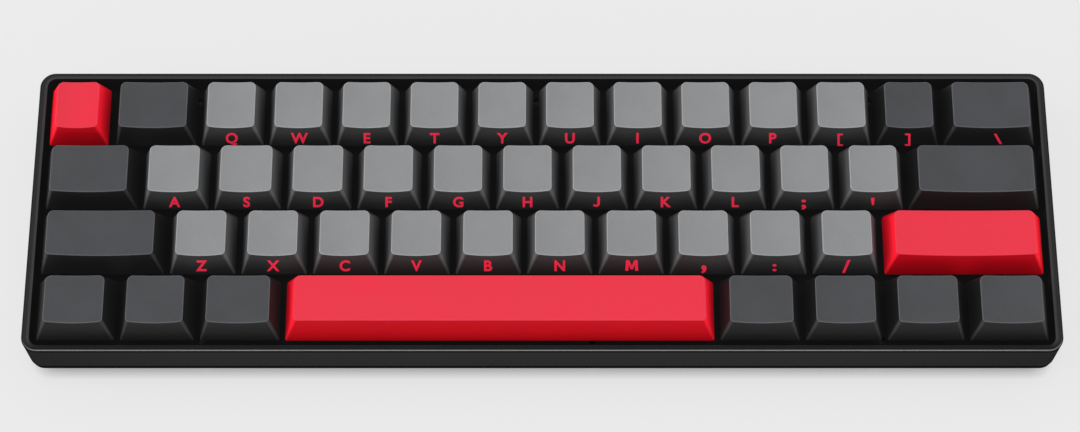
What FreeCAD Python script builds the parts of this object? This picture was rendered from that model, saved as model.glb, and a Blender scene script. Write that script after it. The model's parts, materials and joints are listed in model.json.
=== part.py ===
import FreeCAD, Part
import math
import os
from FreeCAD import Vector

# Gaming keyboard: four rows of mechanical keys in a slim case, sizes in millimetres
# +X to the right, +Y to the back, +Z up, origin on the table under the middle of the case

# Key field: each key is (name, share), and the keys of a row divide its width by their shares
KEY_PITCH = 19.05
FIELD_WIDTH = 274.6
ROWS = [
    [("escape", 0.98), ("tab", 1.27), ("q", 1), ("w", 1), ("e", 1), ("t", 1), ("y", 1), ("u", 1),
     ("i", 1), ("o", 1), ("p", 1), ("bracket_left", 1), ("bracket_right", 1), ("backslash", 1.43)],
    [("caps", 1.4), ("a", 1.02), ("s", 1.04), ("d", 1.01), ("f", 1), ("g", 0.99), ("h", 0.99), ("j", 0.99),
     ("k", 0.99), ("l", 0.99), ("semicolon", 0.98), ("quote", 0.98), ("enter", 1.95)],
    [("shift_left", 1.81), ("z", 1), ("x", 1), ("c", 1), ("v", 1), ("b", 1), ("n", 1), ("m", 1),
     ("comma", 1), ("period", 1), ("slash", 1), ("shift_right", 2.32)],
    [("control_left", 1.19), ("super_left", 1.13), ("alt_left", 1.21), ("space", 6.16),
     ("alt_right", 1.21), ("function", 1.16), ("menu", 1.17), ("control_right", 1.19)],
]
FIELD_DEPTH = len(ROWS) * KEY_PITCH
KEY_TRAVEL = 4.0

# Case: a base tray and an upright frame whose top edge is the rim round the keys
SIDE_MARGIN = 1.25
FRONT_MARGIN = 1.2
WALL = 1.8
CASE_CORNER = 4.2
RIM_CHAMFER = 0.5
RIM_OVER_PLATE = 6.6
BASE_HEIGHT = 6.0
BASE_LAND = 0.4
UNDERCUT = 3.0
FLOOR_THICKNESS = 1.6
BOARD_CLEARANCE = 5.2

# Rubber feet, let into the underside
FOOT_STAND = 1.2
FOOT_LENGTH = 24.0
FOOT_WIDTH = 8.0
FOOT_CORNER = 1.6
FOOT_RECESS = 0.6
FOOT_FIT = 0.1
FOOT_SIDE_INSET = 22.0
FOOT_FRONT_INSET = 14.5

# Case screws, which run up through the base and the frame into the plate
SCREW_DIAMETER = 2.0
SCREW_TIP_SETBACK = 0.4
SCREW_HEAD_DIAMETER = 3.4
SCREW_HEAD_HEIGHT = 1.3
SCREW_DRIVE = 1.5
SCREW_DRIVE_DEPTH = 0.8
SCREW_FIT = 0.1
SCREW_INSET = 5.6
SCREW_SEAT_DEPTH = 3.0
LUG_WIDTH = 4.2
SPACE_SCREW_OFFSET = 25.0

# Switch plate and circuit board
PLATE_THICKNESS = 1.5
PLATE_GAP = 0.3
SWITCH_CUTOUT = 14.0
BOARD_THICKNESS = 1.6
BOARD_MARGIN = 0.2
BOARD_GAP = 0.4
CHIP_SIZE = 7.0
CHIP_HEIGHT = 1.0

# Key switches
HOUSING_FIT = 0.025
HOUSING_DEPTH = 5.0
HOUSING_FOOT = 15.6
HOUSING_TOP = 11.0
HOUSING_HEIGHT = 6.6
SLIDER_WIDTH = 6.8
SLIDER_DEPTH = 5.6
SLIDER_FIT = 0.3
SLIDER_FLOAT = 0.4
HOUSING_FLOOR = 0.8
CROSS_LENGTH = 4.0
CROSS_WIDTH = 1.25
CROSS_HEIGHT = 3.6
CROSS_FIT = 0.05

# Keycaps
CAP_GAP = 0.95
CAP_HEIGHT = 8.0
CAP_SIDE_TAPER = 2.3
CAP_FRONT_TAPER = 2.6
CAP_BACK_TAPER = 2.15
CAP_WALL = 1.1
CAP_TOP_THICKNESS = 1.5
CAP_DISH = 0.5
CAP_DISH_FLAT = 0.35
CAP_OVER_PLATE = 1.1
BOSS_SIZE = 5.5
BOSS_SEAT = 0.1

# Stabilisers under the wide keys
STABILISED_KEYS = ["enter", "shift_left", "shift_right", "space"]
WIDE_STEM_OFFSET = 11.94
SPACE_STEM_OFFSET = 50.0
STEM_WIDTH = 4.4
STEM_DEPTH = 3.2
STEM_FIT = 0.15
STEM_LIFT = 0.1
STEM_SILL = 0.4
STABILISER_WIDTH = 6.4
STABILISER_BACK = 4.5
STABILISER_FRONT = 5.0
STABILISER_HEIGHT = 2.4
STABILISER_CUTOUT_FIT = 0.15
WIRE_DIAMETER = 1.2
WIRE_PLATE_GAP = 0.2
WIRE_ARM = 9.44
WIRE_OVERRUN = 0.2
WIRE_TAIL = 2.8
WIRE_REST_ANGLE = 18.0
WIRE_SLOT_FIT = 0.3
WIRE_GROOVE_FIT = 0.05
CLIP_WALL = 0.6

# Data socket on the underside of the board, behind a window in the rear wall
SOCKET_WIDTH = 8.94
SOCKET_HEIGHT = 3.2
SOCKET_DEPTH = 7.3
SOCKET_SHELL = 0.3
SOCKET_CORNER = 0.8
TONGUE_WIDTH = 6.7
TONGUE_THICKNESS = 0.7
TONGUE_SETBACK = 0.6
SOCKET_BACK_WALL = 1.5
WINDOW_WIDTH = 12.8
WINDOW_HEIGHT = 7.0

# Heights above the table that follow from the sizes above
UNDERSIDE = FOOT_STAND
FLOOR_TOP = UNDERSIDE + FLOOR_THICKNESS
SEAM = UNDERSIDE + BASE_HEIGHT
BOARD_BOTTOM = FLOOR_TOP + BOARD_CLEARANCE
BOARD_TOP = BOARD_BOTTOM + BOARD_THICKNESS
PLATE_TOP = BOARD_TOP + HOUSING_DEPTH
PLATE_BOTTOM = PLATE_TOP - PLATE_THICKNESS
RIM_TOP = PLATE_TOP + RIM_OVER_PLATE
SLIDER_TOP = PLATE_TOP + HOUSING_HEIGHT
POCKET_FLOOR = BOARD_TOP + HOUSING_FLOOR
SLIDER_BOTTOM = POCKET_FLOOR + SLIDER_FLOAT + KEY_TRAVEL
CAP_BOTTOM = PLATE_TOP + CAP_OVER_PLATE + KEY_TRAVEL
CAP_TOP = CAP_BOTTOM + CAP_HEIGHT
CAP_CEILING = CAP_TOP - CAP_TOP_THICKNESS
CROSS_TOP = SLIDER_TOP + CROSS_HEIGHT
SOCKET_MIDDLE = BOARD_BOTTOM - SOCKET_HEIGHT / 2
WIRE_AXIS_HEIGHT = PLATE_BOTTOM - WIRE_PLATE_GAP - WIRE_DIAMETER / 2
STEM_BOTTOM = BOARD_TOP + STEM_LIFT + KEY_TRAVEL

# Plan sizes that follow from the sizes above
INNER_WIDTH = FIELD_WIDTH + 2 * SIDE_MARGIN
INNER_DEPTH = FIELD_DEPTH + 2 * FRONT_MARGIN
OUTER_WIDTH = INNER_WIDTH + 2 * WALL
OUTER_DEPTH = INNER_DEPTH + 2 * WALL
BOARD_DEPTH = FIELD_DEPTH - KEY_PITCH + HOUSING_FOOT + 2 * BOARD_MARGIN
HOLLOW_DEPTH = BOARD_DEPTH + 2 * BOARD_GAP
LEDGE_WIDTH = (INNER_DEPTH - HOLLOW_DEPTH) / 2
HOLLOW_WIDTH = INNER_WIDTH - 2 * LEDGE_WIDTH
BOARD_WIDTH = HOLLOW_WIDTH - 2 * BOARD_GAP
OVERLAP = 1.0


# Plain shapes

def block(x0, x1, y0, y1, z0, z1):
    return Part.makeBox(x1 - x0, y1 - y0, z1 - z0, Vector(x0, y0, z0))


def centred_block(width, depth, z0, z1, x=0, y=0):
    return block(x - width / 2, x + width / 2, y - depth / 2, y + depth / 2, z0, z1)


def rounded_outline(width, depth, radius, z):
    """Closed outline of a rectangle with round corners, centred on the Z axis."""
    edges = []
    corners = [(1, 1, 0), (-1, 1, 90), (-1, -1, 180), (1, -1, 270)]
    arcs = []
    for sx, sy, start in corners:
        centre = Vector(sx * (width / 2 - radius), sy * (depth / 2 - radius), z)
        arcs.append([centre + radius * direction(start + turn) for turn in (0, 45, 90)])
    for corner, points in enumerate(arcs):
        following = arcs[(corner + 1) % 4]
        edges.append(Part.Arc(*points).toShape())
        edges.append(Part.LineSegment(points[2], following[0]).toShape())
    return Part.Wire(edges)


def direction(degrees):
    angle = math.radians(degrees)
    return Vector(math.cos(angle), math.sin(angle), 0)


def rounded_prism(width, depth, radius, z0, z1):
    face = Part.Face(rounded_outline(width, depth, radius, z0))
    return face.extrude(Vector(0, 0, z1 - z0))


def rectangle(x0, x1, y0, y1, z):
    return [Vector(x0, y0, z), Vector(x1, y0, z), Vector(x1, y1, z), Vector(x0, y1, z)]


def tapered_block(low, high):
    """Solid with flat sides between two rectangles that lie one above the other."""
    faces = [Part.Face(Part.makePolygon(low + [low[0]])), Part.Face(Part.makePolygon(high + [high[0]]))]
    for i in range(4):
        j = (i + 1) % 4
        faces.append(Part.Face(Part.makePolygon([low[i], low[j], high[j], high[i], low[i]])))
    solid = Part.Solid(Part.Shell(faces))
    if solid.Volume < 0:
        solid.reverse()
    return solid


def cross_prism(length, width, z0, z1, x=0, y=0):
    along_x = centred_block(length, width, z0, z1, x, y)
    along_y = centred_block(width, length, z0, z1, x, y)
    return along_x.fuse(along_y).removeSplitter()


def rod(start, end, diameter):
    """Thin round piece or bore, drawn with eight flats that touch its diameter."""
    axis = end - start
    turn = FreeCAD.Rotation(Vector(0, 0, 1), axis)
    reach = diameter / 2 / math.cos(math.radians(22.5))
    points = [start + turn.multVec(reach * direction(22.5 + 45 * side)) for side in range(8)]
    return Part.Face(Part.makePolygon(points + [points[0]])).extrude(axis)


# Where things are

def key_places():
    """Yields the name, the width of its place in the row, and the centre of each key."""
    for row, keys in enumerate(ROWS):
        unit = FIELD_WIDTH / sum(share for name, share in keys)
        y = FIELD_DEPTH / 2 - (row + 0.5) * KEY_PITCH
        left = -FIELD_WIDTH / 2
        for name, share in keys:
            yield name, share * unit, left + share * unit / 2, y
            left += share * unit


def key_centre(name):
    for other, width, x, y in key_places():
        if other == name:
            return x, y


def between_keys(first, second):
    return (key_centre(first)[0] + key_centre(second)[0]) / 2


def screw_places():
    back = OUTER_DEPTH / 2 - SCREW_INSET
    back_row = [between_keys("tab", "q"), between_keys("y", "u"),
                between_keys("bracket_left", "bracket_right")]
    front_row = [between_keys("super_left", "alt_left"), key_centre("space")[0] + SPACE_SCREW_OFFSET,
                 between_keys("function", "menu")]
    return [(x, back) for x in back_row] + [(x, -back) for x in front_row]


def foot_places():
    x = OUTER_WIDTH / 2 - FOOT_SIDE_INSET
    y = OUTER_DEPTH / 2 - FOOT_FRONT_INSET
    return [(sx * x, sy * y) for sx in (-1, 1) for sy in (-1, 1)]


def stem_offset(name):
    return SPACE_STEM_OFFSET if name == "space" else WIDE_STEM_OFFSET


def stabilised_keys():
    """Yields each wide key's name, centre, stem offset, and the side on which its wire lies."""
    for name, width, x, y in key_places():
        if name in STABILISED_KEYS:
            wire_side = 1 if name == "space" else -1
            yield name, x, y, stem_offset(name), wire_side


def socket_x():
    return between_keys("escape", "tab")


# Case

def lug(x, y, z0, z1):
    """Upright block from the long wall to just past a screw."""
    wall_side = math.copysign(INNER_DEPTH / 2 + WALL / 2, y)
    inner_end = y - math.copysign(LUG_WIDTH / 2, y)
    return block(x - LUG_WIDTH / 2, x + LUG_WIDTH / 2, min(wall_side, inner_end),
                 max(wall_side, inner_end), z0, z1)


def screw_bores(z0, z1, diameter):
    return [rod(Vector(x, y, z0), Vector(x, y, z1), diameter) for x, y in screw_places()]


def socket_window():
    y0 = HOLLOW_DEPTH / 2 - OVERLAP
    y1 = OUTER_DEPTH / 2 + OVERLAP
    x = socket_x()
    return block(x - WINDOW_WIDTH / 2, x + WINDOW_WIDTH / 2, y0, y1,
                 SOCKET_MIDDLE - WINDOW_HEIGHT / 2, SOCKET_MIDDLE + WINDOW_HEIGHT / 2)


def case_frame():
    outside = rounded_prism(OUTER_WIDTH, OUTER_DEPTH, CASE_CORNER, SEAM, RIM_TOP)
    rim_edges = [edge for edge in outside.Edges
                 if all(abs(vertex.Z - RIM_TOP) < 0.001 for vertex in edge.Vertexes)]
    outside = outside.makeChamfer(RIM_CHAMFER, rim_edges)
    well = rounded_prism(INNER_WIDTH, INNER_DEPTH, CASE_CORNER - WALL, PLATE_BOTTOM, RIM_TOP + OVERLAP)
    hollow = centred_block(HOLLOW_WIDTH, HOLLOW_DEPTH, SEAM - OVERLAP, PLATE_BOTTOM)
    frame = outside.cut(well.fuse(hollow))
    frame = frame.fuse([lug(x, y, SEAM, PLATE_BOTTOM) for x, y in screw_places()]).removeSplitter()
    bores = screw_bores(SEAM - OVERLAP, RIM_TOP, SCREW_DIAMETER + 2 * SCREW_FIT)
    return frame.cut(bores + [socket_window()])


def case_base():
    outside = rounded_prism(OUTER_WIDTH, OUTER_DEPTH, CASE_CORNER, UNDERSIDE, SEAM)
    lower_edges = [edge for edge in outside.Edges
                   if all(abs(vertex.Z - UNDERSIDE) < 0.001 for vertex in edge.Vertexes)]
    outside = outside.makeChamfer(BASE_HEIGHT - BASE_LAND, UNDERCUT, lower_edges)
    hollow = centred_block(HOLLOW_WIDTH, HOLLOW_DEPTH, FLOOR_TOP, SEAM + OVERLAP)
    base = outside.cut(hollow)
    inner_lugs = [lug(x, y, FLOOR_TOP, SEAM).common(hollow) for x, y in screw_places()]
    base = base.fuse(inner_lugs).removeSplitter()
    bores = screw_bores(UNDERSIDE - OVERLAP, SEAM + OVERLAP, SCREW_DIAMETER + 2 * SCREW_FIT)
    head_bores = screw_bores(UNDERSIDE - OVERLAP, UNDERSIDE + SCREW_SEAT_DEPTH,
                             SCREW_HEAD_DIAMETER + 2 * SCREW_FIT)
    recesses = [foot_prism(x, y, FOOT_FIT, UNDERSIDE - OVERLAP, UNDERSIDE + FOOT_RECESS)
                for x, y in foot_places()]
    return base.cut(bores + head_bores + recesses + [socket_window()])


def foot_prism(x, y, fit, z0, z1):
    half_length = FOOT_LENGTH / 2 + fit
    half_width = FOOT_WIDTH / 2 + fit
    cut = FOOT_CORNER
    points = []
    for sx, sy in ((1, 1), (-1, 1), (-1, -1), (1, -1)):
        near_side = Vector(x + sx * half_length, y + sy * (half_width - cut), z0)
        near_end = Vector(x + sx * (half_length - cut), y + sy * half_width, z0)
        points += [near_side, near_end] if sx * sy > 0 else [near_end, near_side]
    return Part.Face(Part.makePolygon(points + [points[0]])).extrude(Vector(0, 0, z1 - z0))


def rubber_feet():
    return [foot_prism(x, y, 0, 0, UNDERSIDE + FOOT_RECESS) for x, y in foot_places()]


def case_screw(x, y):
    seat = UNDERSIDE + SCREW_SEAT_DEPTH
    head_low = seat - SCREW_HEAD_HEIGHT
    shank = rod(Vector(x, y, seat), Vector(x, y, PLATE_TOP - SCREW_TIP_SETBACK), SCREW_DIAMETER)
    head = rod(Vector(x, y, head_low), Vector(x, y, seat), SCREW_HEAD_DIAMETER)
    drive = centred_block(SCREW_DRIVE, SCREW_DRIVE, head_low - OVERLAP, head_low + SCREW_DRIVE_DEPTH, x, y)
    return shank.fuse(head).removeSplitter().cut(drive)


# Plate, board and data socket

def stabiliser_cutout(x, y, wire_side):
    """Opening in the plate for one stabiliser housing and for the wire's arm in front of it."""
    half = STABILISER_WIDTH / 2 + STABILISER_CUTOUT_FIT
    wire_end = WIRE_ARM - WIRE_OVERRUN - WIRE_DIAMETER / 4
    ends = (y + wire_side * wire_end, y - wire_side * (STABILISER_BACK + STABILISER_CUTOUT_FIT))
    return block(x - half, x + half, min(ends), max(ends), PLATE_BOTTOM - OVERLAP, PLATE_TOP + OVERLAP)


def switch_plate():
    width = INNER_WIDTH - 2 * PLATE_GAP
    depth = INNER_DEPTH - 2 * PLATE_GAP
    plate = rounded_prism(width, depth, CASE_CORNER - WALL - PLATE_GAP, PLATE_BOTTOM, PLATE_TOP)
    cuts = [centred_block(SWITCH_CUTOUT, SWITCH_CUTOUT, PLATE_BOTTOM - OVERLAP, PLATE_TOP + OVERLAP, x, y)
            for name, width, x, y in key_places()]
    for name, x, y, offset, wire_side in stabilised_keys():
        cuts += [stabiliser_cutout(x + side * offset, y, wire_side) for side in (-1, 1)]
    cuts += screw_bores(PLATE_BOTTOM - OVERLAP, PLATE_TOP + OVERLAP, SCREW_DIAMETER + 2 * SCREW_FIT)
    return plate.cut(cuts)


def circuit_board():
    board = centred_block(BOARD_WIDTH, BOARD_DEPTH, BOARD_BOTTOM, BOARD_TOP)
    notch = LUG_WIDTH + 2 * BOARD_GAP
    return board.cut([centred_block(notch, notch + 2 * SCREW_INSET, BOARD_BOTTOM - OVERLAP,
                                    BOARD_TOP + OVERLAP, x, y + math.copysign(SCREW_INSET, y))
                      for x, y in screw_places()])


def controller_chip():
    """Chip under the board, between the second and third rows."""
    return centred_block(CHIP_SIZE, CHIP_SIZE, BOARD_BOTTOM - CHIP_HEIGHT, BOARD_BOTTOM,
                         between_keys("g", "h"), 0)


def socket_outline(shrink, y):
    """Flat oval outline of the socket, drawn with cut corners."""
    half_width = SOCKET_WIDTH / 2 - shrink
    half_height = SOCKET_HEIGHT / 2 - shrink
    cut = SOCKET_CORNER - shrink / 2
    corners = [(half_width, half_height - cut), (half_width - cut, half_height)]
    corners += [(-px, pz) for px, pz in reversed(corners)]
    corners += [(-px, -pz) for px, pz in corners]
    points = [Vector(socket_x() + px, y, SOCKET_MIDDLE + pz) for px, pz in corners]
    return Part.Face(Part.makePolygon(points + [points[0]]))


def usb_socket():
    mouth = BOARD_DEPTH / 2
    shell = socket_outline(0, mouth - SOCKET_DEPTH).extrude(Vector(0, SOCKET_DEPTH, 0))
    bore_depth = SOCKET_DEPTH - SOCKET_BACK_WALL
    bore = socket_outline(SOCKET_SHELL, mouth - bore_depth).extrude(Vector(0, bore_depth + OVERLAP, 0))
    x = socket_x()
    tongue = block(x - TONGUE_WIDTH / 2, x + TONGUE_WIDTH / 2, mouth - bore_depth - OVERLAP / 2,
                   mouth - TONGUE_SETBACK, SOCKET_MIDDLE - TONGUE_THICKNESS / 2,
                   SOCKET_MIDDLE + TONGUE_THICKNESS / 2)
    return shell.cut(bore).fuse(tongue).removeSplitter()


# Switches

def slider_opening(x, y, z0, z1):
    return centred_block(SLIDER_WIDTH + 2 * SLIDER_FIT, SLIDER_DEPTH + 2 * SLIDER_FIT, z0, z1, x, y)


def switch_housing(x, y):
    """Box that drops through the plate, closed by a tapered cover that rests on the plate."""
    side = SWITCH_CUTOUT - 2 * HOUSING_FIT
    body = centred_block(side, side, BOARD_TOP, PLATE_TOP, x, y)
    low = HOUSING_FOOT / 2
    high = HOUSING_TOP / 2
    cover = tapered_block(rectangle(x - low, x + low, y - low, y + low, PLATE_TOP),
                          rectangle(x - high, x + high, y - high, y + high, SLIDER_TOP))
    return body.fuse(cover).cut(slider_opening(x, y, POCKET_FLOOR, SLIDER_TOP + OVERLAP))


def slider(x, y):
    """Moving part of the switch, whose cross holds the keycap."""
    body = centred_block(SLIDER_WIDTH, SLIDER_DEPTH, SLIDER_BOTTOM, SLIDER_TOP, x, y)
    cross = cross_prism(CROSS_LENGTH, CROSS_WIDTH, SLIDER_TOP, CROSS_TOP, x, y)
    return body.fuse(cross).removeSplitter()


# Keycaps

def cap_outline(width, x, y, height, inset):
    """Outline of a cap at a height above its lower edge, drawn in by an inset."""
    share = height / CAP_HEIGHT
    half_width = (width - CAP_GAP) / 2 - share * CAP_SIDE_TAPER - inset
    half_depth = (KEY_PITCH - CAP_GAP) / 2 - inset
    return rectangle(x - half_width, x + half_width, y - half_depth + share * CAP_FRONT_TAPER,
                     y + half_depth - share * CAP_BACK_TAPER, CAP_BOTTOM + height)


def dish_cutter(width, x, y):
    """Shallow trough along Y, in three flats, that hollows the top of a cap from side to side."""
    half_top = (width - CAP_GAP) / 2 - CAP_SIDE_TAPER
    half_flat = half_top * CAP_DISH_FLAT
    section = [(half_top, CAP_TOP), (half_flat, CAP_TOP - CAP_DISH), (-half_flat, CAP_TOP - CAP_DISH),
               (-half_top, CAP_TOP), (-half_top, CAP_TOP + OVERLAP), (half_top, CAP_TOP + OVERLAP)]
    points = [Vector(x + px, y - KEY_PITCH, z) for px, z in section]
    return Part.Face(Part.makePolygon(points + [points[0]])).extrude(Vector(0, 2 * KEY_PITCH, 0))


def keycap(name, width, x, y):
    cap = tapered_block(cap_outline(width, x, y, 0, 0), cap_outline(width, x, y, CAP_HEIGHT, 0))
    if name != "space":
        cap = cap.cut(dish_cutter(width, x, y))
    ceiling_height = CAP_HEIGHT - CAP_TOP_THICKNESS
    cap = cap.cut(tapered_block(cap_outline(width, x, y, 0, CAP_WALL),
                                cap_outline(width, x, y, ceiling_height, CAP_WALL)))
    stems = [x]
    if name in STABILISED_KEYS:
        stems += [x - stem_offset(name), x + stem_offset(name)]
    boss_low = SLIDER_TOP + BOSS_SEAT
    for stem_x in stems:
        boss = centred_block(BOSS_SIZE, BOSS_SIZE, boss_low, CAP_CEILING, stem_x, y)
        socket = cross_prism(CROSS_LENGTH + 2 * CROSS_FIT, CROSS_WIDTH + 2 * CROSS_FIT,
                             boss_low - OVERLAP, CROSS_TOP + BOSS_SEAT, stem_x, y)
        cap = cap.fuse(boss).removeSplitter().cut(socket)
    return cap


def key(name, width, x, y):
    """The pieces that travel together: cap, slider, and stabiliser stems under a wide key."""
    pieces = [keycap(name, width, x, y), slider(x, y)]
    if name in STABILISED_KEYS:
        wire_side = 1 if name == "space" else -1
        pieces += [stabiliser_stem(x + side * stem_offset(name), y, wire_side) for side in (-1, 1)]
    return pieces


# Stabilisers

def stabiliser_stem(x, y, wire_side):
    """Stem that slides in its housing, with a slot in which the wire's arm lies."""
    body = centred_block(STEM_WIDTH, STEM_DEPTH, STEM_BOTTOM, SLIDER_TOP, x, y)
    cross = cross_prism(CROSS_LENGTH, CROSS_WIDTH, SLIDER_TOP, CROSS_TOP, x, y)
    slot_low = STEM_BOTTOM + STEM_SILL
    slot_high = slot_low + WIRE_DIAMETER + 2.5 * WIRE_SLOT_FIT
    slot_end = y - wire_side * STEM_DEPTH / 4
    slot_mouth = y + wire_side * STEM_DEPTH
    half = WIRE_DIAMETER / 2 + WIRE_SLOT_FIT
    slot = block(x - half, x + half, min(slot_end, slot_mouth), max(slot_end, slot_mouth), slot_low, slot_high)
    return body.fuse(cross).removeSplitter().cut(slot)


def stabiliser_housing(x, y, wire_side):
    """Upright guide for a stem, with two ears that hold the wire."""
    half = STABILISER_WIDTH / 2
    front = y + wire_side * STABILISER_FRONT
    back = y - wire_side * STABILISER_BACK
    guide = block(x - half, x + half, min(front, back), max(front, back), BOARD_TOP,
                  PLATE_TOP + STABILISER_HEIGHT)
    axis_y = y + wire_side * (WIRE_ARM - WIRE_OVERRUN)
    ear_end = axis_y + wire_side * (WIRE_DIAMETER / 2 + CLIP_WALL)
    ears = block(x - half, x + half, min(front, ear_end), max(front, ear_end), BOARD_TOP, WIRE_AXIS_HEIGHT)
    pocket = centred_block(STEM_WIDTH + 2 * STEM_FIT, STEM_DEPTH + 2 * STEM_FIT, BOARD_TOP - OVERLAP,
                           PLATE_TOP + STABILISER_HEIGHT + OVERLAP, x, y)
    arm_half = WIRE_DIAMETER / 2 + WIRE_SLOT_FIT
    arm_way = block(x - arm_half, x + arm_half, min(y, ear_end + wire_side), max(y, ear_end + wire_side),
                    BOARD_TOP - OVERLAP, PLATE_TOP + WIRE_DIAMETER)
    groove_half = WIRE_DIAMETER / 2 + WIRE_GROOVE_FIT
    groove = block(x - half - OVERLAP, x + half + OVERLAP, axis_y - groove_half, axis_y + groove_half,
                   WIRE_AXIS_HEIGHT - groove_half, WIRE_AXIS_HEIGHT + OVERLAP)
    return guide.fuse(ears).removeSplitter().cut([pocket, arm_way, groove])


def stabiliser_wire(x, y, offset, wire_side):
    """Bent wire that turns in the ears and makes both stems of a wide key move together."""
    axis_y = y + wire_side * (WIRE_ARM - WIRE_OVERRUN)
    rest = math.radians(WIRE_REST_ANGLE)
    reach = Vector(0, -wire_side * WIRE_ARM * math.cos(rest), WIRE_ARM * math.sin(rest))
    left = Vector(x - offset, axis_y, WIRE_AXIS_HEIGHT)
    right = Vector(x + offset, axis_y, WIRE_AXIS_HEIGHT)
    tail = Vector(WIRE_TAIL, 0, 0)
    wire = rod(left - tail, right + tail, WIRE_DIAMETER)
    return wire.fuse([rod(left, left + reach, WIRE_DIAMETER), rod(right, right + reach, WIRE_DIAMETER)])


# Export

def export(name, pieces):
    shape = pieces[0] if len(pieces) == 1 else Part.makeCompound(pieces)
    shape.exportStep(f"parts/{name}.step")


def main():
    os.makedirs("parts", exist_ok=True)
    export("case_base", [case_base()])
    export("case_frame", [case_frame()])
    export("switch_plate", [switch_plate()])
    export("circuit_board", [circuit_board(), controller_chip()])
    export("usb_socket", [usb_socket()])
    export("rubber_feet", rubber_feet())
    export("case_screws", [case_screw(x, y) for x, y in screw_places()])
    export("switch_housings", [switch_housing(x, y) for name, width, x, y in key_places()])
    guides = []
    for name, x, y, offset, wire_side in stabilised_keys():
        guides += [stabiliser_housing(x + side * offset, y, wire_side) for side in (-1, 1)]
        export(f"stabiliser_wire_{name}", [stabiliser_wire(x, y, offset, wire_side)])
    export("stabiliser_housings", guides)
    for name, width, x, y in key_places():
        export(f"key_{name}", key(name, width, x, y))


main()
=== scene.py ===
import json
import math

import bmesh
import bpy
from mathutils import Matrix, Vector


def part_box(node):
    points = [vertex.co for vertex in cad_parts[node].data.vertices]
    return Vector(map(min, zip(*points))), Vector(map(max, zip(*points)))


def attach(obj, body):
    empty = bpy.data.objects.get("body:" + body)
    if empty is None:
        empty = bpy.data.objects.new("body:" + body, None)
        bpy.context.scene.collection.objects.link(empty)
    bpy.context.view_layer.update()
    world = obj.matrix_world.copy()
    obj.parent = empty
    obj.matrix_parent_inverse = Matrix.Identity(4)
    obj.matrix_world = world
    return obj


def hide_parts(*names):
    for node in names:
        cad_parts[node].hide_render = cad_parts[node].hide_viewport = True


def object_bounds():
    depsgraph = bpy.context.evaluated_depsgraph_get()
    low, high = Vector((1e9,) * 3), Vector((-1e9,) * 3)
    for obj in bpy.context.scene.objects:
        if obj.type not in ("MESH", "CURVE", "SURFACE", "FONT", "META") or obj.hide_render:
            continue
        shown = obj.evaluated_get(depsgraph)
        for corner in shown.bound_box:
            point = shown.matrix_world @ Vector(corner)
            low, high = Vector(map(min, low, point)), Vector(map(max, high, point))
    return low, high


# Gaming keyboard in metres, in the frame of its construction model

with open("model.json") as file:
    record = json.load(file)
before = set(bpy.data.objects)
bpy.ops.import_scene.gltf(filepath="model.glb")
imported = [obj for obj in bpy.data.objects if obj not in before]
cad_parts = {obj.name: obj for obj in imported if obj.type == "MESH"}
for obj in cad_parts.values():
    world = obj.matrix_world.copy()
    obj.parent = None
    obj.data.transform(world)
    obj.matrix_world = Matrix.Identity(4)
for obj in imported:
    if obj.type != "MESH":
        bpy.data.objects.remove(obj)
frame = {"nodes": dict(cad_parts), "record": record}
cad_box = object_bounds()
MM = 0.001

# Keys; where four values stand together, one is for each row, from the back
KEY_PITCH = 19.05 * MM
CAP_HEIGHT = 8.0 * MM
CAP_SIDE_TAPERS = (2.35 * MM, 2.46 * MM, 2.58 * MM, 2.62 * MM)
CAP_FRONT_TAPERS = (2.6 * MM, 2.6 * MM, 3.1 * MM, 2.85 * MM)
CAP_BACK_TAPERS = (2.15 * MM, 2.15 * MM, 2.35 * MM, 2.15 * MM)
WIDE_RED_TAPER = 0.3 * MM
SPACE_FRONT_TAPER = 3.35 * MM
# How far the lower edges stand back at the sides and at the back
CAP_SIDE_SETBACK = 0.25 * MM
CAP_BACK_SETBACK = 0.8 * MM
# Trims of single caps in mm: left and right at the lower edge, left and right at the top
CAP_TRIMS = {
    "escape": (-0.25, 0.7, 0.45, 0.75),
    "tab": (0, 0, -0.5, 0),
    "control_left": (0, 0, 0.6, 0),
    "shift_right": (0.2, 0, 0, 0.35),
}
CAP_WALL = 1.0 * MM
# Half widths that the hollow keeps for the switch housing, at its mouth and at its ceiling
HOLLOW_ROOM = (7.5 * MM, 5.3 * MM)
CAP_TOP_THICKNESS = 1.5 * MM
CAP_DISH = 0.7 * MM
SPACE_CROWN = 0.25 * MM
# Corner radii in plan, front and back, at the lower edge and at the top
CAP_LOW_CORNERS = (0.6 * MM, 1.2 * MM)
CAP_TOP_CORNERS = (1.0 * MM, 1.6 * MM)
LEAST_CORNER = 0.2 * MM
CAP_EDGE = 0.3 * MM
CAP_LIP = 0.15 * MM
CORNER_STEPS = 6
EDGE_STEPS = 4
CIRCLE_STEPS = 32
# Longest step along a wall, and steps along its depth
CAP_STEP = 2.4 * MM
CAP_DEPTH_STEPS = 8
# Where the wall has rings, in shares of its height, and the top face, in shares of its size
WALL_LEVELS = (CAP_LIP / CAP_HEIGHT, 0.25, 0.5, 0.75, 0.9)
TOP_SCALES = (0.93, 0.8, 0.6, 0.4, 0.2)
# Edges sharper than these angles stay sharp
CAP_SMOOTHING = 50
BEND_SMOOTHING = 40
PART_SMOOTHING = 35
# How far a cutter reaches beyond what it cuts
OVERSHOOT = 1.0 * MM
# Painted light: how much lighter the side walls, the front wall and the front corners are painted, from the
# wall's own colour up to 1
PAINTED_WALL_LIGHT = {"light": (0.44, 0.16, 0.33), "slate": (0.02, 0.0, 0.3), "red": (1.0, 0.12, 0.3)}
# Painted light on a red wall: how much it has at the wall's foot, and what it gains up to the top
RED_RISE = (0.25, 0.9)
# Where the painted light of other walls sets in, over what share of the height it grows, and how steeply
GREY_RISE = (0.1, 0.6, 1.3)
# Painted highlight on the front corner ridges: its share at the foot of the wall
RIDGE_FOOT = 0.4
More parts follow.
